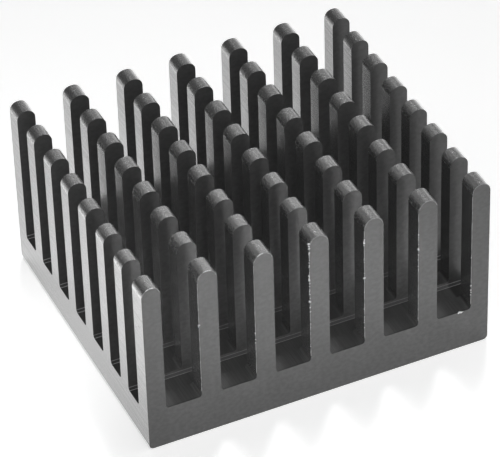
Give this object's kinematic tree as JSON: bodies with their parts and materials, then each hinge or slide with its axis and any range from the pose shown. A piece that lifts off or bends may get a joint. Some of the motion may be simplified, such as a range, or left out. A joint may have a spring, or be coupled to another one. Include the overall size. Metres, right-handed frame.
{
  "type": "pin-fin heat sink",
  "caption": "Black anodised pin-fin heat sink: a flat base with round-topped rectangular pins that carry heat from a component into the air.",
  "frame": {"origin": "centre of the flat base face that sits on the component", "axes": "+Z from the base face towards the pin tops, +Y along the extruded channels with the deeper front pins at -Y, +X across the channels and along the saw cuts"},
  "size_m": [0.045, 0.04, 0.0243],
  "materials": {
    "black_anodised": "satin black anodised, with fine extrusion lines and saw-cut faces"
  },
  "bodies": {
    "root": {"heat_sink": "black_anodised"}
  },
  "joints": []
}
